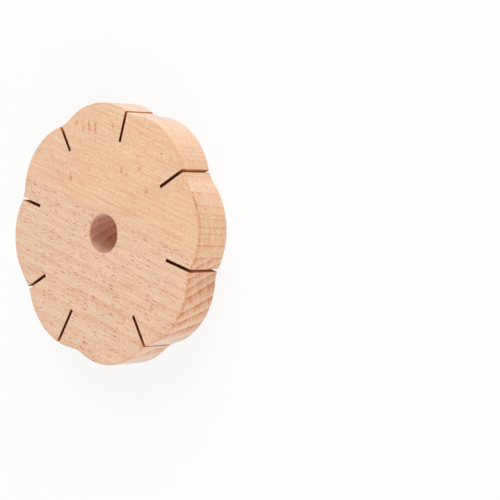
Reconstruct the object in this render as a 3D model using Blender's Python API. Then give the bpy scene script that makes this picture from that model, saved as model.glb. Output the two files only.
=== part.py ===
"""Braiding disc: a flat beech disc for round braids.

The rim is scalloped into petals. A thread slot is sawn in from the rim at each
valley between two petals, and the finished braid runs down through a hole drilled
in the middle. The disc is one solid, cut from a blank of two glued staves.

Metres, +Z up. The disc lies flat on its back face, with the origin at the middle
of that face. The petals point along X, along Y and halfway between them.
"""

from math import atan2, ceil, cos, pi, radians, sin

import bmesh
import bpy
from mathutils import Vector

# Driving sizes: the blank and its petals
PETAL_COUNT = 8
WIDTH_OVER_PETALS = 0.080
THICKNESS = 0.012
VALLEY_DEPTH = 0.0022
VALLEY_RADIUS = 0.0102
ARRIS_RADIUS = 0.0004

# Driving sizes: the drilled hole
HOLE_DIAMETER = 0.012
HOLE_EDGE_BREAK = 0.0003

# Driving sizes: the sawn slots. They were cut with the disc a little off centre in
# its jig and the blade a little to one side, so they share a centre of their own and
# sit just past their valleys.
SLOT_WIDTH = 0.001
SLOT_DEPTH = 0.0094
SLOT_CENTRE = Vector((-0.0008, 0.0005))
SLOT_TURN = radians(1.0)
SLOT_OFFSET = 0.0005

# Driving sizes: one slot was sawn well off its valley and a little too deep
STRAY_SLOT = 5
STRAY_SLOT_TURN = radians(-14.1)
STRAY_SLOT_OFFSET = 0.0015
STRAY_SLOT_DEPTH = 0.0105

# Facets
RIM_STEP = radians(5)
ARRIS_STEPS = 3
HOLE_STEPS = 48
SHARP_ANGLE = radians(30)

# Clearance by which a cutter runs past the wood that it cuts
CUT_PAST = 0.002

# Look of the oiled beech
BEECH_COLOUR = (0.80, 0.53, 0.36, 1.0)
BEECH_ROUGHNESS = 0.55

# Worked out from the sizes above
HALF_PITCH = pi / PETAL_COUNT
TIP_DISTANCE = WIDTH_OVER_PETALS / 2
VALLEY_DISTANCE = TIP_DISTANCE - VALLEY_DEPTH
HOLE_RADIUS = HOLE_DIAMETER / 2


def at(distance, angle):
    """Return the point at a distance from the axis, in a direction."""
    return Vector((distance * cos(angle), distance * sin(angle)))


def petal_radius():
    """Return the radius at which a petal meets both of its valley fillets."""
    fillet_distance = VALLEY_DISTANCE + VALLEY_RADIUS
    along = fillet_distance * cos(HALF_PITCH)
    square = fillet_distance**2 - 2 * along * TIP_DISTANCE + TIP_DISTANCE**2 - VALLEY_RADIUS**2
    return square / (2 * (VALLEY_RADIUS - along + TIP_DISTANCE))


def arc(centre, radius, start, end):
    """Return points along an arc, its middle among them, without its end point."""
    steps = 2 * ceil(abs(end - start) / RIM_STEP / 2)
    return [centre + at(radius, start + (end - start) * step / steps) for step in range(steps)]


def rim_outline(inset):
    """Return the petalled outline, moved in towards the axis by an inset."""
    radius = petal_radius()
    petal_distance = TIP_DISTANCE - radius
    fillet_distance = VALLEY_DISTANCE + VALLEY_RADIUS
    meeting = at(fillet_distance, HALF_PITCH) - Vector((petal_distance, 0))
    half_petal = atan2(meeting.y, meeting.x)
    half_fillet = half_petal - HALF_PITCH
    points = []
    for petal in range(PETAL_COUNT):
        middle = 2 * HALF_PITCH * petal
        valley = middle + HALF_PITCH
        points += arc(at(petal_distance, middle), radius - inset, middle - half_petal, middle + half_petal)
        points += arc(
            at(fillet_distance, valley),
            VALLEY_RADIUS + inset,
            valley + pi + half_fillet,
            valley + pi - half_fillet,
        )
    return points


def rim_section():
    """Return the inset and height of each ring, up the rim from back to front."""
    turns = [step / ARRIS_STEPS * pi / 2 for step in range(ARRIS_STEPS + 1)]
    rise = [(ARRIS_RADIUS * (1 - sin(turn)), ARRIS_RADIUS * (1 - cos(turn))) for turn in turns]
    fall = [(inset, THICKNESS - height) for inset, height in reversed(rise)]
    return rise + fall


def new_object(name, mesh):
    """Put a mesh into the scene as an object."""
    made = bpy.data.objects.new(name, mesh)
    bpy.context.scene.collection.objects.link(made)
    return made


def finish_mesh(work, name, smooth):
    """Turn worked geometry into a mesh with its faces pointing out."""
    bmesh.ops.recalc_face_normals(work, faces=work.faces)
    mesh = bpy.data.meshes.new(name)
    work.to_mesh(mesh)
    work.free()
    if smooth:
        mesh.shade_smooth()
        mesh.set_sharp_from_angle(angle=SHARP_ANGLE)
    return mesh


def make_blank():
    """Make the petalled blank, with its arrises rounded over, before it is cut."""
    work = bmesh.new()
    rings = []
    for inset, height in rim_section():
        ring = [work.verts.new((x, y, height)) for x, y in rim_outline(inset)]
        rings.append(ring)
    for lower, upper in zip(rings, rings[1:]):
        for near in range(len(lower)):
            far = (near + 1) % len(lower)
            work.faces.new((lower[near], lower[far], upper[far], upper[near]))
    work.faces.new(rings[0])
    work.faces.new(rings[-1])
    return new_object("braiding_disc", finish_mesh(work, "braiding_disc", True))


def make_cutter(name, work, smooth):
    """Make an object that only cuts others."""
    cutter = new_object(name, finish_mesh(work, name, smooth))
    cutter.hide_render = True
    cutter.display_type = "WIRE"
    return cutter


def hole_cutter():
    """Make the drill's path, flared at both faces where the edge is broken."""
    flare = HOLE_RADIUS + HOLE_EDGE_BREAK + CUT_PAST
    section = [
        (0, -CUT_PAST),
        (flare, -CUT_PAST),
        (HOLE_RADIUS, HOLE_EDGE_BREAK),
        (HOLE_RADIUS, THICKNESS - HOLE_EDGE_BREAK),
        (flare, THICKNESS + CUT_PAST),
        (0, THICKNESS + CUT_PAST),
    ]
    work = bmesh.new()
    corners = [work.verts.new((reach, 0, height)) for reach, height in section]
    edges = [work.edges.new(pair) for pair in zip(corners, corners[1:])]
    bmesh.ops.spin(
        work,
        geom=corners + edges,
        cent=(0, 0, 0),
        axis=(0, 0, 1),
        angle=2 * pi,
        steps=HOLE_STEPS,
    )
    bmesh.ops.remove_doubles(work, verts=work.verts, dist=1e-6)
    return make_cutter("cutter_hole", work, True)


def slot_cutter(number):
    """Make one saw cut: a plain box from the slot's closed end out past the rim."""
    stray = number == STRAY_SLOT
    depth = STRAY_SLOT_DEPTH if stray else SLOT_DEPTH
    turn = STRAY_SLOT_TURN if stray else 0
    offset = STRAY_SLOT_OFFSET if stray else SLOT_OFFSET
    inner = VALLEY_DISTANCE - depth
    outer = TIP_DISTANCE + SLOT_CENTRE.length + CUT_PAST
    low = (inner, offset - SLOT_WIDTH / 2, -CUT_PAST)
    high = (outer, offset + SLOT_WIDTH / 2, THICKNESS + CUT_PAST)
    work = bmesh.new()
    bmesh.ops.create_cube(work, size=1)
    for corner in work.verts:
        corner.co = [b if at_high > 0 else a for a, b, at_high in zip(low, high, corner.co)]
    cutter = make_cutter(f"cutter_slot_{number}", work, False)
    cutter.location = SLOT_CENTRE.to_3d()
    cutter.rotation_euler.z = (2 * number + 1) * HALF_PITCH + SLOT_TURN + turn
    return cutter


def cut(wood, cutter):
    """Take a cutter's shape out of the wood."""
    modifier = wood.modifiers.new(cutter.name, "BOOLEAN")
    modifier.operation = "DIFFERENCE"
    modifier.solver = "EXACT"
    modifier.object = cutter


def beech():
    """Make the material: pale beech with a thin oil finish."""
    material = bpy.data.materials.new("beech")
    material.use_nodes = True
    shader = material.node_tree.nodes["Principled BSDF"]
    shader.inputs["Base Color"].default_value = BEECH_COLOUR
    shader.inputs["Metallic"].default_value = 0.0
    shader.inputs["Roughness"].default_value = BEECH_ROUGHNESS
    return material


def main():
    """Build the disc in an empty scene."""
    for leftover in list(bpy.data.objects):
        bpy.data.objects.remove(leftover)
    disc = make_blank()
    disc.data.materials.append(beech())
    cut(disc, hole_cutter())
    for number in range(PETAL_COUNT):
        cut(disc, slot_cutter(number))


main()
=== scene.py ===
"""Braiding disc in oiled beech, on a pale studio floor.

The disc lies flat on its back face. It was cut from a blank of two glued staves, so
the grain, the growth rings and the rays change at the glue line. The figure of the
wood is solid: it runs through the faces, the rim, the bore and the saw cuts.
"""

from collections import namedtuple
from math import atan2, ceil, cos, pi, radians, sin

import bmesh
import bpy
from mathutils import Matrix, Vector, noise


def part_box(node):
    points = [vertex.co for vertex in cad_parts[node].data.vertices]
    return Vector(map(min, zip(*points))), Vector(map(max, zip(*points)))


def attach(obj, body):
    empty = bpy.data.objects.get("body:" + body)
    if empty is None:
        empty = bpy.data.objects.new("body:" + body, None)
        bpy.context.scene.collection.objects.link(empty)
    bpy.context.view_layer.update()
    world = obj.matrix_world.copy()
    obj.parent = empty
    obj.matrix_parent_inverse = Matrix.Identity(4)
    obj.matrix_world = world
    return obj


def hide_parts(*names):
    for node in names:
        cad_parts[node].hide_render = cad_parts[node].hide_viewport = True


bl_info = {
    "name": "Braiding disc",
    "version": (1, 0, 0),
    "blender": (4, 5, 0),
    "location": "View3D > Sidebar > Braiding disc",
    "description": "Makes a beech braiding disc around its packed solid",
    "category": "Add Mesh",
}

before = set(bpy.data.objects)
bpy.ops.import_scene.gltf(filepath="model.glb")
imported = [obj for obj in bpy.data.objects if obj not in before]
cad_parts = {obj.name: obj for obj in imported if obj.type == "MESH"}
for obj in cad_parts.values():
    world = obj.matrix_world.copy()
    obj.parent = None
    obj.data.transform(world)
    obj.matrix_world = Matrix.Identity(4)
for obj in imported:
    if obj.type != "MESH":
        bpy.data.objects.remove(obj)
CAD_LOW, CAD_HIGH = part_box("braiding_disc")
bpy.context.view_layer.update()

# Petals, which stand on the axes and halfway between them
PETAL_COUNT = 8
HALF_PITCH = pi / PETAL_COUNT

# The saw cuts were made with the disc a little off centre in its jig and the blade a
# little to one side
SLOT_CENTRE = Vector((-0.0008, 0.0005))
SLOT_TURN = radians(1.0)
SLOT_OFFSET = 0.0005
STRAY_SLOT = 5
STRAY_SLOT_TURN = radians(-14.1)
STRAY_SLOT_OFFSET = 0.0015
STRAY_SLOT_EXTRA = 0.0011

# Facets of the disc, the angle from which an edge is sharp, how upright a face's normal
# is on the two flat faces, and how far the cutters run past the wood
RIM_STEP = radians(1.5)
ARRIS_STEPS = 6
HOLE_STEPS = 120
SHARP_ANGLE = radians(35)
LEVEL = 0.9999
CUT_PAST = 0.002

# Hand sanding leaves the arris uneven: waves to the metre and the share of its radius
# that they take, then how many times finer the ripple on them is, and its share
ARRIS_WAVE, WAVE_SHARE = 140, 0.35
ARRIS_RIPPLE, RIPPLE_SHARE = 4.3, 0.15

# Finishes of the wood, in the order of the disc's materials
SANDED, DRILLED, SAWN = range(3)

# The two staves that the blank was glued from. Both have their fibres along the glue
# line, which runs down to the right at this slope across the front face. Its height is
# in millimetres from the middle, square to itself.
GRAIN_SLOPE = radians(23)
GLUE_HEIGHT = 5.9

# One stave: how far its radius tips out of the front face, where each growth ring comes
# out on that face in millimetres across the grain and how dark it ends, the tone
# through a ring, how strongly rings show on long grain and on end grain, how much tone
# end grain adds, the strength of its fibres, its streaks and its rays, where a ray's
# edge fades, and how many rays there are to the millimetre along the fibres, along the
# radius and round the trunk. A nought along the radius leaves its rays unbroken there.
Stave = namedtuple(
    "Stave", "name tilt rings tones face_rings rim_rings soak fibres streaks ray ray_edge ray_cell"
)
STAVES = (
    Stave(
        name="lower",
        tilt=radians(24),
        rings=(
            (-52, 0.8), (-46.5, 0.8), (-41.4, 0.8), (-36.1, 0.8), (-31.4, 0.8), (-25.6, 1.1), (-19.7, 1.1),
            (-15.2, 1.0), (-11.4, 1.0), (-6.6, 0.8), (-3.8, 0.65), (-1, 0.7), (2.1, 0.8), (5.4, 0.9),
            (9, 0.9), (13, 0.8),
        ),
        tones=((0, 1), (0.14, 0.0), (0.5, 0.3), (0.85, 0.7), (1, 1)),
        face_rings=0.26,
        rim_rings=0.95,
        soak=0.12,
        fibres=0.2,
        streaks=0.15,
        ray=1.0,
        ray_edge=(0.16, 0.34),
        ray_cell=(0.33, 0.0, 6.0),
    ),
    Stave(
        name="upper",
        tilt=radians(-1.7),
        rings=(
            (-2, 0.5), (2, 0.5), (5.6, 0.4), (9.95, 1.0), (11.85, 0.5), (13.3, 0.75), (15.1, 0.95),
            (17.35, 0.6), (18.5, 0.8), (20.6, 0.65), (23.8, 0.9), (25.2, 0.4), (27.3, 0.8), (28.3, 0.9),
            (31.3, 0.5), (32.3, 0.6), (33.3, 0.7), (34.3, 0.7), (36.5, 0.4), (39, 0.3), (43, 0.3),
        ),
        tones=((0, 0.9), (0.12, 0.05), (0.6, 0.1), (0.88, 0.35), (1, 0.9)),
        face_rings=0.2,
        rim_rings=0.95,
        soak=0.0,
        fibres=0.19,
        streaks=0.19,
        ray=0.14,
        ray_edge=(0.12, 0.5),
        ray_cell=(0.55, 0.3, 1.0),
    ),
)

# Ray flecks on the upper stave: place on the front face, width, length and strength.
# Sizes are in millimetres. The flecks run along the face's own Y axis.
FLECKS = (
    ((-9.1, 34.6), 1.5, 2.8, 0.70),
    ((-6.3, 32.6), 1.0, 4.2, 0.50),
    ((-3.6, 33.0), 1.4, 4.2, 0.75),
    ((-1.0, 32.5), 1.3, 4.6, 0.75),
    ((6.7, 32.3), 1.0, 3.0, 0.55),
    ((8.4, 33.7), 1.0, 2.0, 0.35),
    ((-20.7, 25.0), 1.6, 1.8, 0.40),
    ((-21.6, 29.4), 1.8, 2.0, 0.15),
    ((-13.1, 18.6), 1.7, 3.2, 0.60),
    ((-4.7, 20.3), 1.3, 1.5, 0.50),
    ((9.3, 18.6), 1.4, 2.3, 0.75),
    ((11.3, 17.3), 1.3, 1.2, 0.60),
    ((17.1, 18.3), 1.9, 1.7, 0.45),
    ((19.2, 11.4), 1.8, 2.2, 0.60),
    ((26.4, 21.9), 1.4, 0.8, 0.75),
    ((18.4, 28.6), 1.8, 0.6, 0.35),
    ((22.8, 25.8), 1.2, 0.6, 0.55),
)

# Where the front edge is marked, in degrees round the disc: the middle of the stretch, how
# far from there the mark is still at its most and from where it is at its least, and that
# least and that most. Oil turned the edge orange, most of all where it is end grain, and the
# cutter burnt it in one place.
ORANGE_EDGE = (-17, 25, 32, 0.35, 0.75)
BURNT_EDGE = (9.6, 1.4, 4.4, 0.0, 1.0)

# What the drilled wall keeps of the wood's red, green and blue: it is darker than the faces
BORE_DARKENING = (0.86, 0.81, 0.89)

# Where the two soft lamps stand. Both face the disc.
KEY_PLACE = (0.11, 0.82, 0.37)
FILL_PLACE = (0.22, -0.5, 0.32)

# The camera's place, the picture's ways right and up, and the lens in millimetres
CAMERA_PLACE = Vector((0.41319, -0.02236, 0.41515))
CAMERA_RIGHT = Vector((0.7493, -0.0537, -0.6601))
CAMERA_UP = Vector((0.0576, 0.9982, -0.0159))
CAMERA_LENS = 136.48


def linear(code):
    """Return the linear colour of an sRGB hex code."""
    values = [int(code[i : i + 2], 16) / 255 for i in (0, 2, 4)]
    return [v / 12.92 if v <= 0.04045 else ((v + 0.055) / 1.055) ** 2.4 for v in values]


class DiscSizes(bpy.types.PropertyGroup):
    """Sizes of the disc"""

    width: bpy.props.FloatProperty(
        name="Width", description="Width over the petals", default=CAD_HIGH[0] - CAD_LOW[0], unit="LENGTH"
    )
    thickness: bpy.props.FloatProperty(
        name="Thickness",
        description="Thickness of the board",
        default=CAD_HIGH[2] - CAD_LOW[2],
        unit="LENGTH",
    )
    valley_depth: bpy.props.FloatProperty(
        name="Valley depth", description="From petal tip to valley", default=0.0022, unit="LENGTH"
    )
    valley_radius: bpy.props.FloatProperty(
        name="Valley radius", description="Radius of the hollow between petals", default=0.0102, unit="LENGTH"
    )
    arris_radius: bpy.props.FloatProperty(
        name="Arris", description="Mean radius of the rounded rim edges", default=0.0004, unit="LENGTH"
    )
    hole: bpy.props.FloatProperty(
        name="Hole", description="Diameter of the drilled hole", default=0.012, unit="LENGTH"
    )
    hole_break: bpy.props.FloatProperty(
        name="Hole edge", description="Broken edge of the drilled hole", default=0.0003, unit="LENGTH"
    )
    slot_width: bpy.props.FloatProperty(
        name="Slot width", description="Kerf of the thread slots", default=0.001, unit="LENGTH"
    )
    slot_depth: bpy.props.FloatProperty(
        name="Slot depth",
        description="Depth of the thread slots from the valleys",
        default=0.0094,
        unit="LENGTH",
    )
    slot_break: bpy.props.FloatProperty(
        name="Slot edge",
        description="Edge that sanding broke along the slots",
        default=0.00006,
        unit="LENGTH",
    )


class BeechColours(bpy.types.PropertyGroup):
    """Colours of the beech"""

    lower_early: bpy.props.FloatVectorProperty(
        name="Lower spring wood",
        description="Pale spring growth of the lower stave",
        default=linear("E5BC9B"),
        subtype="COLOR",
    )
    lower_late: bpy.props.FloatVectorProperty(
        name="Lower summer wood",
        description="Summer growth of the lower stave",
        default=linear("C87C42"),
        subtype="COLOR",
    )
    upper_early: bpy.props.FloatVectorProperty(
        name="Upper spring wood",
        description="Pale spring growth of the upper stave",
        default=linear("E5B993"),
        subtype="COLOR",
    )
    upper_late: bpy.props.FloatVectorProperty(
        name="Upper summer wood",
        description="Summer growth of the upper stave",
        default=linear("CE7830"),
        subtype="COLOR",
    )
    ray: bpy.props.FloatVectorProperty(
        name="Rays", description="Medullary rays cut across", default=linear("B75E2A"), subtype="COLOR"
    )
    fleck: bpy.props.FloatVectorProperty(
        name="Flecks", description="Medullary rays cut along", default=linear("CA6C2E"), subtype="COLOR"
    )
    arris: bpy.props.FloatVectorProperty(
        name="Arris", description="Front edge, dark with oil", default=linear("CA7232"), subtype="COLOR"
    )
    scorch: bpy.props.FloatVectorProperty(
        name="Scorch", description="Rim burnt by its cutter", default=linear("74300C"), subtype="COLOR"
    )
    # Toasted by the saw, and lightened with painted light at the mouth of the cut
    kerf_mouth: bpy.props.FloatVectorProperty(
        name="Kerf mouth", description="Wood toasted by the saw", default=linear("C46828"), subtype="COLOR"
    )
    # Painted light from behind: the saw cut's wall away from the front face, paler than the burn
    kerf_painted_backlight: bpy.props.FloatVectorProperty(
        name="Kerf wall",
        description="Wood browned by the saw, away from the face",
        default=linear("F0B27E"),
        subtype="COLOR",
    )
    # Burnt by the saw, and darkened with painted shade towards the closed end of the cut
    kerf: bpy.props.FloatVectorProperty(
        name="Kerf", description="Wood burnt by the saw", default=linear("682008"), subtype="COLOR"
    )


class StageSettings(bpy.types.PropertyGroup):
    """Floor and lights of the studio"""

    floor_colour: bpy.props.FloatVectorProperty(
        name="Floor", description="Colour of the floor", default=linear("F4F4F3"), subtype="COLOR"
    )
    sky: bpy.props.FloatProperty(name="Sky", description="Strength of the light from all round", default=0.57)
    key_power: bpy.props.FloatProperty(
        name="Key light", description="Power of the large soft lamp", default=6.0, unit="POWER"
    )
    fill_power: bpy.props.FloatProperty(
        name="Fill light", description="Power of the soft lamp opposite", default=2.1, unit="POWER"
    )
    lamp_size: bpy.props.FloatProperty(
        name="Lamp size", description="Side of the soft lamps", default=0.7, unit="LENGTH"
    )


def at(distance, angle):
    """Return the point at a distance from the axis, in a direction."""
    return Vector((distance * cos(angle), distance * sin(angle)))


def arc(centre, radius, start, end, outward):
    """Return points along an arc with the way out at each, its middle among them, without its end."""
    steps = 2 * ceil(abs(end - start) / RIM_STEP / 2)
    turns = [start + (end - start) * step / steps for step in range(steps)]
    return [(centre + at(radius, turn), at(outward, turn)) for turn in turns]


def petal_arc(sizes):
    """Return the radius at which a petal meets both of its valley fillets, and half the angle it spans."""
    tip = sizes.width / 2
    fillet = sizes.valley_radius
    fillet_distance = tip - sizes.valley_depth + fillet
    along = fillet_distance * cos(HALF_PITCH)
    square = fillet_distance**2 - 2 * along * tip + tip**2 - fillet**2
    radius = square / (2 * (fillet - along + tip))
    meeting = at(fillet_distance, HALF_PITCH) - Vector((tip - radius, 0))
    return radius, atan2(meeting.y, meeting.x)


def rim_outline(sizes):
    """Return the points of the petalled outline, each with its way out of the wood."""
    radius, half_petal = petal_arc(sizes)
    petal_distance = sizes.width / 2 - radius
    fillet = sizes.valley_radius
    fillet_distance = sizes.width / 2 - sizes.valley_depth + fillet
    half_fillet = half_petal - HALF_PITCH
    points = []
    for petal in range(PETAL_COUNT):
        middle = 2 * HALF_PITCH * petal
        facing = middle + HALF_PITCH + pi
        points += arc(at(petal_distance, middle), radius, middle - half_petal, middle + half_petal, 1)
        points += arc(
            at(fillet_distance, middle + HALF_PITCH), fillet, facing + half_fillet, facing - half_fillet, -1
        )
    return points


def arris_at(sizes, point, height):
    """Return the arris radius at a point: hand sanding leaves it a little uneven."""
    place = Vector((point.x, point.y, height)) * ARRIS_WAVE
    wave = WAVE_SHARE * noise.noise(place)
    return sizes.arris_radius * (1 + wave + RIPPLE_SHARE * noise.noise(place * ARRIS_RIPPLE))


def blank_mesh(sizes):
    """Return a bmesh of the petalled blank with its arrises rounded over."""
    work = bmesh.new()
    outline = rim_outline(sizes)
    turns = [step / ARRIS_STEPS * pi / 2 for step in range(ARRIS_STEPS + 1)]
    rings = []
    for base, side, order in ((0, 1, turns), (sizes.thickness, -1, reversed(turns))):
        for turn in order:
            ring = []
            for point, outward in outline:
                arris = arris_at(sizes, point, base)
                place = point - outward * arris * (1 - sin(turn))
                ring.append(work.verts.new((*place, base + side * arris * (1 - cos(turn)))))
            rings.append(ring)
    for lower, upper in zip(rings, rings[1:]):
        for near in range(len(lower)):
            far = (near + 1) % len(lower)
            work.faces.new((lower[near], lower[far], upper[far], upper[near]))
    work.faces.new(rings[0])
    work.faces.new(rings[-1])
    return work


def add_tapered_path(work, outline_at, section, wall_finish):
    """Add a closed cutter that runs through the board and flares at both faces."""
    rings = [[work.verts.new((*corner, height)) for corner in outline_at(flare)] for flare, height in section]
    ends = [work.faces.new(rings[0]), work.faces.new(rings[-1])]
    for face in ends:
        face.smooth = True
    for number, (lower, upper) in enumerate(zip(rings, rings[1:])):
        for near in range(len(lower)):
            far = (near + 1) % len(lower)
            face = work.faces.new((lower[near], lower[far], upper[far], upper[near]))
            face.smooth = True
            # The middle band is the wall, and the flares are edges that sanding broke
            face.material_index = wall_finish if number == 1 else SANDED


def cutters_mesh(sizes):
    """Return a bmesh of the drill's path and the saw cuts. Their walls carry their own finish."""
    work = bmesh.new()

    def section(edge):
        return [
            (edge + CUT_PAST, -CUT_PAST),
            (0, edge),
            (0, sizes.thickness - edge),
            (edge + CUT_PAST, sizes.thickness + CUT_PAST),
        ]

    def hole_outline(flare):
        return [at(sizes.hole / 2 + flare, 2 * pi * step / HOLE_STEPS) for step in range(HOLE_STEPS)]

    add_tapered_path(work, hole_outline, section(sizes.hole_break), DRILLED)
    for number in range(PETAL_COUNT):
        stray = number == STRAY_SLOT
        turn = (2 * number + 1) * HALF_PITCH + SLOT_TURN + (STRAY_SLOT_TURN if stray else 0)
        inner = sizes.width / 2 - sizes.valley_depth - sizes.slot_depth - (STRAY_SLOT_EXTRA if stray else 0)
        outer = sizes.width / 2 + SLOT_CENTRE.length + CUT_PAST
        offset = STRAY_SLOT_OFFSET if stray else SLOT_OFFSET
        spin = Matrix.Rotation(turn, 2)

        def slot_outline(flare):
            half = sizes.slot_width / 2 + flare
            low, high = offset - half, offset + half
            corners = ((inner - flare, low), (outer, low), (outer, high), (inner - flare, high))
            return [SLOT_CENTRE + spin @ Vector(corner) for corner in corners]

        add_tapered_path(work, slot_outline, section(sizes.slot_break), SAWN)
    return work


def to_mesh(work, name):
    """Turn worked geometry into a mesh with its faces pointing out."""
    bmesh.ops.recalc_face_normals(work, faces=work.faces)
    mesh = bpy.data.meshes.new(name)
    work.to_mesh(mesh)
    work.free()
    return mesh


def add_node(tree, kind, links=None, **settings):
    """Add a node, set its properties, and give each input a value or a link."""
    made = tree.nodes.new(kind)
    for key, value in settings.items():
        setattr(made, key, value)
    for key, value in (links or {}).items():
        socket = made.inputs[key]
        if isinstance(value, bpy.types.NodeSocket):
            tree.links.new(value, socket)
        else:
            socket.default_value = value
    return made


def set_curve(node, spots, handle):
    """Lay a curve node's curve through spots."""
    curve = node.mapping.curves[0]
    for spot in spots[1:-1]:
        curve.points.new(*spot)
    for point, spot in zip(curve.points, spots):
        point.location = spot
        point.handle_type = handle
    node.mapping.update()


def ring_tone(tree, across, breaks, stave):
    """Add growth rings and return their tone, from 0 in spring wood to 1 in summer wood.

    One curve turns the distance across the grain into a count of rings, and what is
    left over from a whole ring is the season. Another says how dark each ring ends.
    Rays cross the rings and break their lines.
    """
    low, high = stave.rings[0][0], stave.rings[-1][0]
    last = len(stave.rings) - 1
    shares = [(place - low) / (high - low) for place, strength in stave.rings]
    share = add_node(
        tree, "ShaderNodeMapRange", {0: across, "From Min": low, "From Max": high}, clamp=False
    ).outputs[0]
    count = add_node(tree, "ShaderNodeFloatCurve", {"Value": share})
    strength = add_node(tree, "ShaderNodeFloatCurve", {"Value": share})
    season = add_node(tree, "ShaderNodeFloatCurve")
    for node, spots, handle in (
        (count, [(spot, index / last) for index, spot in enumerate(shares)], "VECTOR"),
        (strength, [(spot, ring[1] / 2) for spot, ring in zip(shares, stave.rings)], "VECTOR"),
        (season, stave.tones, "AUTO_CLAMPED"),
    ):
        set_curve(node, spots, handle)
    passed = add_node(tree, "ShaderNodeMath", {0: count.outputs[0], 1: last}, operation="MULTIPLY").outputs[0]
    left_over = add_node(tree, "ShaderNodeMath", {0: passed}, operation="FRACT").outputs[0]
    tree.links.new(left_over, season.inputs["Value"])
    doubled = add_node(tree, "ShaderNodeMath", {0: season.outputs[0], 1: 2}, operation="MULTIPLY").outputs[0]
    broken = add_node(tree, "ShaderNodeMapRange", {0: breaks, "To Min": 1.45, "To Max": 0.55}).outputs[0]
    strong = add_node(
        tree, "ShaderNodeMath", {0: strength.outputs[0], 1: broken}, operation="MULTIPLY"
    ).outputs[0]
    rings = add_node(tree, "ShaderNodeMath", {0: doubled, 1: strong}, operation="MULTIPLY").outputs[0]
    # Thin layers within a ring, some 0.2 mm apart, which show from close by
    layers = add_node(
        tree, "ShaderNodeTexNoise", {"W": across, "Scale": 10.0, "Detail": 1.0}, noise_dimensions="1D"
    ).outputs[0]
    layered = add_node(
        tree,
        "ShaderNodeMapRange",
        {0: layers, "From Min": 0.3, "From Max": 0.7, "To Min": -0.16, "To Max": 0.16},
    ).outputs[0]
    return add_node(tree, "ShaderNodeMath", {0: rings, 1: layered}, operation="ADD").outputs[0]


def stave_wood(tree, ring_place, fibre_place, end, stave, colours):
    """Add one stave's wood and return its colour, its rays, its fibres and its rings.

    Both places are in millimetres from the middle of the front face, turned so that X
    runs along the fibres. The stave's own axes are those tipped over: along the fibres,
    out along a radius of the trunk, and round the trunk.
    """
    ring_trunk, trunk = (
        add_node(tree, "ShaderNodeMapping", {"Vector": place, "Rotation": (-stave.tilt, 0, 0)}).outputs[0]
        for place in (ring_place, fibre_place)
    )
    radius = add_node(tree, "ShaderNodeSeparateXYZ", {0: ring_trunk}).outputs[1]
    across = add_node(tree, "ShaderNodeMath", {0: radius, 1: cos(stave.tilt)}, operation="DIVIDE").outputs[0]
    # Sheets of rays, some 0.7 mm apart, which draw fine lines along the radius on end grain
    spread = add_node(
        tree, "ShaderNodeVectorMath", {0: ring_trunk, 1: (0.2, 0.22, 2.4)}, operation="MULTIPLY"
    ).outputs[0]
    layers = add_node(tree, "ShaderNodeTexNoise", {"Vector": spread, "Scale": 1.0, "Detail": 1.0}).outputs[0]
    sheets = add_node(tree, "ShaderNodeMapRange", {0: layers, "From Min": 0.35, "From Max": 0.65}).outputs[0]
    rings = ring_tone(tree, across, sheets, stave)
    weight = add_node(
        tree, "ShaderNodeMapRange", {0: end, "To Min": stave.face_rings, "To Max": stave.rim_rings}
    ).outputs[0]
    lines = add_node(
        tree, "ShaderNodeMapRange", {0: sheets, "To Min": stave.soak + 0.1, "To Max": stave.soak - 0.1}
    ).outputs[0]
    lined = add_node(tree, "ShaderNodeMath", {0: end, 1: lines}, operation="MULTIPLY").outputs[0]
    tone = add_node(
        tree, "ShaderNodeMath", {0: rings, 1: weight, 2: lined}, operation="MULTIPLY_ADD"
    ).outputs[0]

    # Streaks 0.6 mm wide and some 10 mm long, and over them fibres 0.3 mm wide and 1 mm long
    for scale, reach in (((0.09, 1.6, 2.0), stave.streaks), ((1.1, 3.4, 3.4), stave.fibres)):
        scaled = add_node(tree, "ShaderNodeVectorMath", {0: trunk, 1: scale}, operation="MULTIPLY").outputs[0]
        fibres = add_node(
            tree, "ShaderNodeTexNoise", {"Vector": scaled, "Scale": 1.0, "Detail": 1.0}
        ).outputs[0]
        strokes = add_node(
            tree,
            "ShaderNodeMapRange",
            {0: fibres, "From Min": 0.3, "From Max": 0.7, "To Min": -reach, "To Max": reach},
            clamp=False,
        ).outputs[0]
        tone = add_node(tree, "ShaderNodeMath", {0: tone, 1: strokes}, operation="ADD").outputs[0]
    early, late = (getattr(colours, f"{stave.name}_{season}") for season in ("early", "late"))
    wood = add_node(
        tree, "ShaderNodeMix", {0: tone, 6: (*early, 1), 7: (*late, 1)}, data_type="RGBA", clamp_factor=False
    ).outputs[2]

    # Rays are thin sheets that stand along the radius: dashes on one stave, soft flecks on the other
    cells = add_node(
        tree, "ShaderNodeVectorMath", {0: trunk, 1: stave.ray_cell}, operation="MULTIPLY"
    ).outputs[0]
    spots = add_node(tree, "ShaderNodeTexVoronoi", {"Vector": cells, "Scale": 1.0}, feature="F1")
    luck = add_node(tree, "ShaderNodeSeparateColor", {0: spots.outputs["Color"]})
    size = add_node(
        tree, "ShaderNodeMapRange", {0: luck.outputs[0], "To Min": 0.55, "To Max": 1.3}
    ).outputs[0]
    reach = add_node(
        tree, "ShaderNodeMath", {0: spots.outputs["Distance"], 1: size}, operation="DIVIDE"
    ).outputs[0]
    inside = add_node(
        tree,
        "ShaderNodeMapRange",
        {0: reach, "From Min": stave.ray_edge[0], "From Max": stave.ray_edge[1], "To Min": 1, "To Max": 0},
        interpolation_type="SMOOTHSTEP",
    ).outputs[0]
    dark = add_node(
        tree,
        "ShaderNodeMapRange",
        {0: luck.outputs[1], "From Min": 0.25, "To Min": 0, "To Max": stave.ray},
        interpolation_type="SMOOTHERSTEP",
    ).outputs[0]
    rays = add_node(tree, "ShaderNodeMath", {0: inside, 1: dark}, operation="MULTIPLY").outputs[0]
    return wood, rays, fibres, rings


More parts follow.
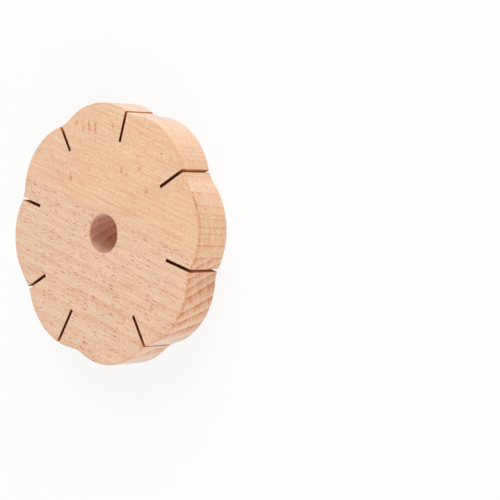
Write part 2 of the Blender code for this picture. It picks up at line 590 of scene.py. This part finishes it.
def fleck_marks(tree, fibre_place, fibres):
    """Add the upper stave's large ray flecks, feathered by its fibres, and return their strength."""
    flat = add_node(
        tree, "ShaderNodeVectorMath", {0: fibre_place, 1: (1, 1, 0)}, operation="MULTIPLY"
    ).outputs[0]
    turn = Matrix.Rotation(GRAIN_SLOPE, 2)
    most = 0.0
    for place, width, length, strength in FLECKS:
        centre = turn @ Vector(place)
        from_it = add_node(
            tree, "ShaderNodeVectorMath", {0: flat, 1: (*centre, 0)}, operation="SUBTRACT"
        ).outputs[0]
        scaled = add_node(
            tree,
            "ShaderNodeMapping",
            {"Vector": from_it, "Rotation": (0, 0, GRAIN_SLOPE), "Scale": (width / 2, length / 2, 1)},
            vector_type="TEXTURE",
        ).outputs[0]
        away = add_node(tree, "ShaderNodeVectorMath", {0: scaled}, operation="LENGTH").outputs["Value"]
        mark = add_node(
            tree,
            "ShaderNodeMapRange",
            {0: away, "From Min": 0.3, "From Max": 1.3, "To Min": strength, "To Max": 0},
            interpolation_type="SMOOTHSTEP",
        ).outputs[0]
        most = add_node(tree, "ShaderNodeMath", {0: most, 1: mark}, operation="MAXIMUM").outputs[0]
    feather = add_node(
        tree,
        "ShaderNodeMapRange",
        {0: fibres, "From Min": 0.35, "From Max": 0.6, "To Min": 0.35, "To Max": 1.1},
    ).outputs[0]
    return add_node(tree, "ShaderNodeMath", {0: most, 1: feather}, operation="MULTIPLY").outputs[0]


def rim_place(tree, place, sizes):
    """Return the distance from the rim into the wood in millimetres, and the direction from the axis.

    The place is folded into one petal, where the rim is taken as a single arc.
    """
    tip, radius = 1000 * sizes.width / 2, 1000 * petal_arc(sizes)[0]
    axes = add_node(tree, "ShaderNodeSeparateXYZ", {0: place})
    flat = add_node(tree, "ShaderNodeVectorMath", {0: place, 1: (1, 1, 0)}, operation="MULTIPLY").outputs[0]
    out = add_node(tree, "ShaderNodeVectorMath", {0: flat}, operation="LENGTH").outputs["Value"]
    angle = add_node(
        tree, "ShaderNodeMath", {0: axes.outputs[1], 1: axes.outputs[0]}, operation="ARCTAN2"
    ).outputs[0]
    folded = add_node(
        tree, "ShaderNodeMath", {0: angle, 1: HALF_PITCH, 2: -HALF_PITCH}, operation="WRAP"
    ).outputs[0]
    cosine, sine = (
        add_node(tree, "ShaderNodeMath", {0: folded}, operation=way).outputs[0] for way in ("COSINE", "SINE")
    )
    unit = add_node(tree, "ShaderNodeCombineXYZ", {0: cosine, 1: sine}).outputs[0]
    spot = add_node(tree, "ShaderNodeVectorMath", {0: unit, "Scale": out}, operation="SCALE").outputs[0]
    away = add_node(
        tree, "ShaderNodeVectorMath", {0: spot, 1: (tip - radius, 0, 0)}, operation="DISTANCE"
    ).outputs["Value"]
    return add_node(tree, "ShaderNodeMath", {0: radius, 1: away}, operation="SUBTRACT").outputs[0], angle


def beech_figure(colours, sizes):
    """Return a node group with the colour and relief of two glued beech staves.

    Solid beech, with its rings slanting below the glue line and square to the faces
    above it. To the eye it is a pale pinkish tan with faint growth rings, short brown
    ray dashes on the lower stave and soft ray flecks on the upper one. Its Edge is the
    distance from the rim and its Height the place above the front face, so below zero
    in the wood. Both are in millimetres.
    """
    tree = bpy.data.node_groups.new("beech_figure", "ShaderNodeTree")
    outputs = ("Color", "Relief", "Edge", "Height", "Front edge", "Scorch")
    for name in outputs:
        kind = "NodeSocketColor" if name == "Color" else "NodeSocketFloat"
        tree.interface.new_socket(name, in_out="OUTPUT", socket_type=kind)
    spot = add_node(tree, "ShaderNodeTexCoord")
    place = add_node(
        tree,
        "ShaderNodeMapping",
        {
            "Vector": spot.outputs["Object"],
            "Location": (0, 0, -1000 * sizes.thickness),
            "Scale": (1000, 1000, 1000),
        },
    ).outputs[0]
    grained = add_node(
        tree, "ShaderNodeMapping", {"Vector": place, "Rotation": (0, 0, GRAIN_SLOPE)}
    ).outputs[0]

    # The grain wanders slowly, over some 30 mm, and its fibres shiver over 5 mm
    places = [grained]
    for scale, reach in ((0.035, 1.2), (0.2, 0.5)):
        wave = add_node(tree, "ShaderNodeTexNoise", {"Vector": place, "Scale": scale, "Detail": 1.0})
        centred = add_node(
            tree, "ShaderNodeVectorMath", {0: wave.outputs["Color"], 1: (0.5, 0.5, 0.5)}, operation="SUBTRACT"
        ).outputs[0]
        sway = add_node(
            tree, "ShaderNodeVectorMath", {0: centred, "Scale": reach}, operation="SCALE"
        ).outputs[0]
        moved = add_node(tree, "ShaderNodeVectorMath", {0: places[-1], 1: sway}, operation="ADD").outputs[0]
        places.append(moved)

    # The rim is end grain where the fibres meet it end on
    fibre = (cos(GRAIN_SLOPE), -sin(GRAIN_SLOPE), 0)
    meeting = add_node(
        tree, "ShaderNodeVectorMath", {0: spot.outputs["Normal"], 1: fibre}, operation="DOT_PRODUCT"
    ).outputs["Value"]
    square = add_node(tree, "ShaderNodeMath", {0: meeting, 1: meeting}, operation="MULTIPLY").outputs[0]
    end = add_node(
        tree,
        "ShaderNodeMapRange",
        {0: square, "From Min": 0.1, "From Max": 0.8},
        interpolation_type="SMOOTHSTEP",
    ).outputs[0]

    lower, upper = (stave_wood(tree, *places[1:], end, stave, colours) for stave in STAVES)

    # The glue line is straight, so it takes the place before the grain's wander
    height = add_node(tree, "ShaderNodeSeparateXYZ", {0: grained}).outputs[1]
    past = add_node(tree, "ShaderNodeMath", {0: height, 1: GLUE_HEIGHT}, operation="SUBTRACT").outputs[0]
    above = add_node(tree, "ShaderNodeMath", {0: past, 1: 0.0}, operation="GREATER_THAN").outputs[0]
    off = add_node(tree, "ShaderNodeMath", {0: past}, operation="ABSOLUTE").outputs[0]
    shown = add_node(tree, "ShaderNodeMapRange", {0: end, "To Min": 0.2, "To Max": 0.7}).outputs[0]
    glue = add_node(
        tree,
        "ShaderNodeMapRange",
        {0: off, "From Min": 0.04, "From Max": 0.16, "To Min": shown, "To Max": 0},
        interpolation_type="SMOOTHSTEP",
    ).outputs[0]

    wood = add_node(tree, "ShaderNodeMix", {0: above, 6: lower[0], 7: upper[0]}, data_type="RGBA").outputs[2]
    rays, fibres, rings = (
        add_node(tree, "ShaderNodeMix", {0: above, 2: one, 3: other}).outputs[0]
        for one, other in zip(lower[1:], upper[1:])
    )
    # Rays show least where they are met end on
    seen = add_node(tree, "ShaderNodeMapRange", {0: end, "To Min": 1.0, "To Max": 0.35}).outputs[0]
    rays = add_node(tree, "ShaderNodeMath", {0: rays, 1: seen}, operation="MULTIPLY").outputs[0]
    flecks = fleck_marks(tree, places[2], fibres)
    for factor, tint in ((rays, colours.ray), (flecks, colours.fleck), (glue, colours.ray)):
        wood = add_node(
            tree, "ShaderNodeMix", {0: factor, 6: wood, 7: (*tint, 1)}, data_type="RGBA"
        ).outputs[2]

    # Pores are under 0.1 mm. They are drawn as a 0.4 mm speckle in tone and tint, which is
    # the finest that shows
    specks = add_node(tree, "ShaderNodeTexNoise", {"Vector": place, "Scale": 2.6, "Detail": 2.0})
    pores = specks.outputs[0]
    speckle = add_node(
        tree,
        "ShaderNodeMapRange",
        {0: pores, "From Min": 0.3, "From Max": 0.7, "To Min": 0.95, "To Max": 1.05},
    ).outputs[0]
    wood = add_node(tree, "ShaderNodeVectorMath", {0: wood, "Scale": speckle}, operation="SCALE").outputs[0]
    tinted = add_node(
        tree,
        "ShaderNodeVectorMath",
        {0: specks.outputs["Color"], 1: (0.24, 0.24, 0.24), 2: (0.88, 0.88, 0.88)},
        operation="MULTIPLY_ADD",
    ).outputs[0]
    wood = add_node(tree, "ShaderNodeVectorMath", {0: wood, 1: tinted}, operation="MULTIPLY").outputs[0]

    # The front edge is orange with oil, most on end grain and where a dark ring meets it
    edge, angle = rim_place(tree, place, sizes)
    depth = add_node(tree, "ShaderNodeSeparateXYZ", {0: place}).outputs[2]
    corner = add_node(tree, "ShaderNodeCombineXYZ", {0: edge, 1: depth}).outputs[0]
    near = add_node(tree, "ShaderNodeVectorMath", {0: corner}, operation="LENGTH").outputs["Value"]
    uneven = add_node(
        tree,
        "ShaderNodeMapRange",
        {0: pores, "From Min": 0.35, "From Max": 0.65, "To Min": -0.25, "To Max": 0.25},
    ).outputs[0]
    ragged = add_node(tree, "ShaderNodeMath", {0: near, 1: uneven}, operation="ADD").outputs[0]
    band = add_node(
        tree,
        "ShaderNodeMapRange",
        {0: ragged, "From Min": 0.2, "From Max": 0.85, "To Min": 1, "To Max": 0},
        interpolation_type="SMOOTHSTEP",
    ).outputs[0]
    darker = add_node(
        tree, "ShaderNodeMath", {0: rings, 1: 0.35, 2: 0.5}, operation="MULTIPLY_ADD"
    ).outputs[0]
    banded = add_node(tree, "ShaderNodeMath", {0: band, 1: darker}, operation="MULTIPLY").outputs[0]

    strengths = []
    for middle, inner, outer, least, most in (ORANGE_EDGE, BURNT_EDGE):
        turned = add_node(
            tree, "ShaderNodeMath", {0: angle, 1: radians(middle)}, operation="SUBTRACT"
        ).outputs[0]
        along = add_node(tree, "ShaderNodeMath", {0: turned}, operation="ABSOLUTE").outputs[0]
        strengths.append(
            add_node(
                tree,
                "ShaderNodeMapRange",
                {
                    0: along,
                    "From Min": radians(inner),
                    "From Max": radians(outer),
                    "To Min": most,
                    "To Max": least,
                },
                interpolation_type="SMOOTHSTEP",
            ).outputs[0]
        )
    thin = add_node(
        tree,
        "ShaderNodeMapRange",
        {0: ragged, "From Min": 0.05, "From Max": 0.4, "To Min": 0.62, "To Max": 0},
        interpolation_type="SMOOTHSTEP",
    ).outputs[0]
    front, scorch = (
        add_node(tree, "ShaderNodeMath", {0: mark, 1: strength}, operation="MULTIPLY").outputs[0]
        for mark, strength in zip((banded, thin), strengths)
    )

    out = add_node(tree, "NodeGroupOutput")
    for name, value in zip(outputs, (wood, fibres, edge, depth, front, scorch)):
        tree.links.new(value, out.inputs[name])
    return tree


def beech_material(name, figure, finish, surface):
    """Make a beech material. Finish takes the tree and the figure's node, and returns the colour."""
    material = bpy.data.materials.new(name)
    material.use_nodes = True
    tree = material.node_tree
    shader = tree.nodes["Principled BSDF"]
    for key, value in {"IOR": 1.5, "Metallic": 0.0, **surface}.items():
        shader.inputs[key].default_value = value
    wood = add_node(tree, "ShaderNodeGroup", node_tree=figure)
    tree.links.new(finish(tree, wood), shader.inputs["Base Color"])
    bump = add_node(
        tree, "ShaderNodeBump", {"Height": wood.outputs["Relief"], "Strength": 0.2, "Distance": 0.00005}
    )
    tree.links.new(bump.outputs[0], shader.inputs["Normal"])
    return material


def make_finishes(colours, sizes):
    """Return the sanded, the drilled and the sawn finish of the beech; the drilled and the sawn one carry
    painted light and shade.
    """
    figure = beech_figure(colours, sizes)

    def sanded(tree, wood):
        # Sanded and oiled: matt, with an orange line and a burn along the front edge
        colour = wood.outputs["Color"]
        for factor, tint in (("Front edge", colours.arris), ("Scorch", colours.scorch)):
            colour = add_node(
                tree, "ShaderNodeMix", {0: wood.outputs[factor], 6: colour, 7: (*tint, 1)}, data_type="RGBA"
            ).outputs[2]
        return colour

    def drilled(tree, wood):
        # Darker than the faces, and paler towards the back: painted light, as if light came through the hole
        # from behind
        brown = add_node(
            tree, "ShaderNodeVectorMath", {0: wood.outputs["Color"], 1: BORE_DARKENING}, operation="MULTIPLY"
        ).outputs[0]
        # Painted light from behind: the wall grows paler towards the back face
        pale = add_node(
            tree,
            "ShaderNodeMapRange",
            {
                0: wood.outputs["Height"],
                "From Min": -1000 * sizes.thickness,
                "From Max": -3,
                "To Min": 1.45,
                "To Max": 1.0,
            },
        ).outputs[0]
        return add_node(tree, "ShaderNodeVectorMath", {0: brown, "Scale": pale}, operation="SCALE").outputs[0]

    def sawn(tree, wood):
        # Scorched by the blade, with painted light and shade over the burn: toasted orange and lighter with
        # painted light at the mouth of the cut, darker with painted shade towards its closed end, and paler
        # with painted light from behind away from the front face
        facing = add_node(
            tree, "ShaderNodeMapRange", {0: wood.outputs["Height"], "From Min": -2.8, "From Max": -0.3}
        ).outputs[0]
        mouth = add_node(
            tree,
            "ShaderNodeMix",
            {0: facing, 6: (*colours.kerf_painted_backlight, 1), 7: (*colours.kerf_mouth, 1)},
            data_type="RGBA",
        ).outputs[2]
        # Painted light from behind: less of the burn away from the front face
        most = add_node(tree, "ShaderNodeMapRange", {0: facing, "To Min": 0.35, "To Max": 1.0}).outputs[0]
        # Painted shade over the burn: darker towards the closed end of the cut
        deep = add_node(
            tree, "ShaderNodeMapRange", {0: wood.outputs["Edge"], "From Max": 2.8, "To Max": most}
        ).outputs[0]
        return add_node(
            tree, "ShaderNodeMix", {0: deep, 6: mouth, 7: (*colours.kerf, 1)}, data_type="RGBA"
        ).outputs[2]

    oiled = {"Roughness": 0.65, "Sheen Weight": 1.0, "Sheen Roughness": 0.45}
    burnished = {"Roughness": 0.5, "Sheen Weight": 0.5, "Sheen Roughness": 0.5}
    scorched = {"Roughness": 0.9, "Specular IOR Level": 0.1}
    return [
        beech_material("beech_sanded_oiled", figure, sanded, oiled),
        beech_material("beech_drilled_painted_light", figure, drilled, burnished),
        beech_material("beech_sawn_scorched_painted_light", figure, sawn, scorched),
    ]


def seen_share(tree):
    """Return 1 for the camera's rays and reflections, and 0 for rays that light the disc."""
    rays = add_node(tree, "ShaderNodeLightPath").outputs
    return add_node(
        tree, "ShaderNodeMath", {0: rays["Is Camera Ray"], 1: rays["Is Glossy Ray"]}, operation="MAXIMUM"
    ).outputs[0]


def floor_paper(tint):
    """Make the floor: white background paper, matt. To the camera it is close to white."""
    material = bpy.data.materials.new("background_paper")
    material.use_nodes = True
    tree = material.node_tree
    tree.nodes.clear()
    colour = (*tint, 1)
    matt = add_node(tree, "ShaderNodeBsdfDiffuse", {"Color": colour})
    glow = add_node(tree, "ShaderNodeEmission", {"Color": (1, 1, 1, 1), "Strength": 1.0})
    # White, but for a share that keeps the shadow. In the hole the paper lies in deep shade.
    spot = add_node(tree, "ShaderNodeTexCoord").outputs["Object"]
    away = add_node(tree, "ShaderNodeVectorMath", {0: spot}, operation="LENGTH").outputs["Value"]
    outside = add_node(
        tree,
        "ShaderNodeMapRange",
        {0: away, "From Min": 0.02, "From Max": 0.03, "To Min": 0.15, "To Max": 0.8},
    ).outputs[0]
    share = add_node(
        tree, "ShaderNodeMath", {0: seen_share(tree), 1: outside}, operation="MULTIPLY"
    ).outputs[0]
    mixed = add_node(tree, "ShaderNodeMixShader", {0: share, 1: matt.outputs[0], 2: glow.outputs[0]})
    add_node(tree, "ShaderNodeOutputMaterial", {"Surface": mixed.outputs[0]})
    return material


def link_object(name, mesh):
    """Put a mesh into the scene as an object."""
    made = bpy.data.objects.new(name, mesh)
    bpy.context.scene.collection.objects.link(made)
    return made


def cut_disc(sizes, finishes):
    """Return the disc's mesh, with its hole drilled and its slots sawn, each in its own finish."""
    blank = link_object("blank", to_mesh(blank_mesh(sizes), "blank"))
    cutters = link_object("cutters", to_mesh(cutters_mesh(sizes), "cutters"))
    for finish in finishes:
        blank.data.materials.append(finish)
        cutters.data.materials.append(finish)
    modifier = blank.modifiers.new("cuts", "BOOLEAN")
    modifier.operation = "DIFFERENCE"
    modifier.solver = "EXACT"
    modifier.object = cutters
    evaluated = blank.evaluated_get(bpy.context.evaluated_depsgraph_get())
    mesh = bpy.data.meshes.new_from_object(evaluated)
    for leftover in (blank, cutters):
        bpy.data.objects.remove(leftover)
    if not mesh.polygons:
        raise RuntimeError("the blank couldn't be cut")
    return mesh


class MakeDisc(bpy.types.Operator):
    """Make the disc and its beech"""

    bl_idname = "braiding_disc.make_disc"
    bl_label = "Disc"

    def execute(self, context):
        sizes = context.scene.disc_sizes
        mesh = cut_disc(sizes, make_finishes(context.scene.beech_colours, sizes))
        mesh.name = "beech_disc"
        for face in mesh.polygons:
            face.use_smooth = abs(face.normal.z) < LEVEL
        mesh.set_sharp_from_angle(angle=SHARP_ANGLE)
        disc = link_object("beech_disc", mesh)
        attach(disc, "root")
        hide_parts("braiding_disc")
        return {"FINISHED"}


class MakeStage(bpy.types.Operator):
    """Make the floor, the lights and the camera"""

    bl_idname = "braiding_disc.make_stage"
    bl_label = "Stage"

    def execute(self, context):
        scene = context.scene
        settings = scene.stage_settings
        scene.view_settings.view_transform = "Standard"

        work = bmesh.new()
        bmesh.ops.create_grid(work, x_segments=1, y_segments=1, size=4)
        floor = link_object("floor", to_mesh(work, "floor"))
        floor.data.materials.append(floor_paper(settings.floor_colour))

        world = bpy.data.worlds.new("studio")
        world.use_nodes = True
        scene.world = world
        tree = world.node_tree
        tree.nodes.clear()
        strength = add_node(
            tree, "ShaderNodeMapRange", {"Value": seen_share(tree), "To Min": settings.sky, "To Max": 1.0}
        ).outputs[0]
        sky = add_node(tree, "ShaderNodeBackground", {"Color": (1, 1, 1, 1), "Strength": strength})
        add_node(tree, "ShaderNodeOutputWorld", {"Surface": sky.outputs[0]})

        for name, power, place in (
            ("key", settings.key_power, KEY_PLACE),
            ("fill", settings.fill_power, FILL_PLACE),
        ):
            lamp = bpy.data.lights.new(name, "AREA")
            lamp.shape = "SQUARE"
            lamp.size = settings.lamp_size
            lamp.energy = power
            light = bpy.data.objects.new(name, lamp)
            scene.collection.objects.link(light)
            light.location = place
            light.rotation_mode = "QUATERNION"
            light.rotation_quaternion = (-light.location).to_track_quat("-Z", "Y")

        camera_data = bpy.data.cameras.new("camera")
        camera_data.lens = CAMERA_LENS
        camera_data.sensor_width = 36
        camera_data.clip_start = 0.05
        camera = bpy.data.objects.new("camera", camera_data)
        scene.collection.objects.link(camera)
        right = CAMERA_RIGHT.normalized()
        back = right.cross(CAMERA_UP).normalized()
        turn = Matrix((right, back.cross(right), back)).transposed()
        camera.matrix_world = Matrix.Translation(CAMERA_PLACE) @ turn.to_4x4()
        scene.camera = camera
        return {"FINISHED"}


class DiscPanel(bpy.types.Panel):
    """Sizes, colours and makers of the braiding disc"""

    bl_idname = "VIEW3D_PT_braiding_disc"
    bl_label = "Braiding disc"
    bl_space_type = "VIEW_3D"
    bl_region_type = "UI"
    bl_category = "Braiding disc"

    def draw(self, context):
        scene = context.scene
        for operator, groups in (
            (MakeDisc, (scene.disc_sizes, scene.beech_colours)),
            (MakeStage, (scene.stage_settings,)),
        ):
            box = self.layout.box()
            for settings in groups:
                for name in settings.__annotations__:
                    box.prop(settings, name)
            box.operator(operator.bl_idname)


CLASSES = (DiscSizes, BeechColours, StageSettings, MakeDisc, MakeStage, DiscPanel)


def register():
    """Register the classes and hang their settings on the scene."""
    for made in CLASSES:
        bpy.utils.register_class(made)
    bpy.types.Scene.disc_sizes = bpy.props.PointerProperty(type=DiscSizes)
    bpy.types.Scene.beech_colours = bpy.props.PointerProperty(type=BeechColours)
    bpy.types.Scene.stage_settings = bpy.props.PointerProperty(type=StageSettings)


def unregister():
    """Take the settings off the scene and unregister the classes."""
    del bpy.types.Scene.stage_settings
    del bpy.types.Scene.beech_colours
    del bpy.types.Scene.disc_sizes
    for made in reversed(CLASSES):
        bpy.utils.unregister_class(made)


def main():
    """Make the disc and its stage."""
    register()
    bpy.ops.braiding_disc.make_disc()
    bpy.ops.braiding_disc.make_stage()


if __name__ == "__main__":
    main()
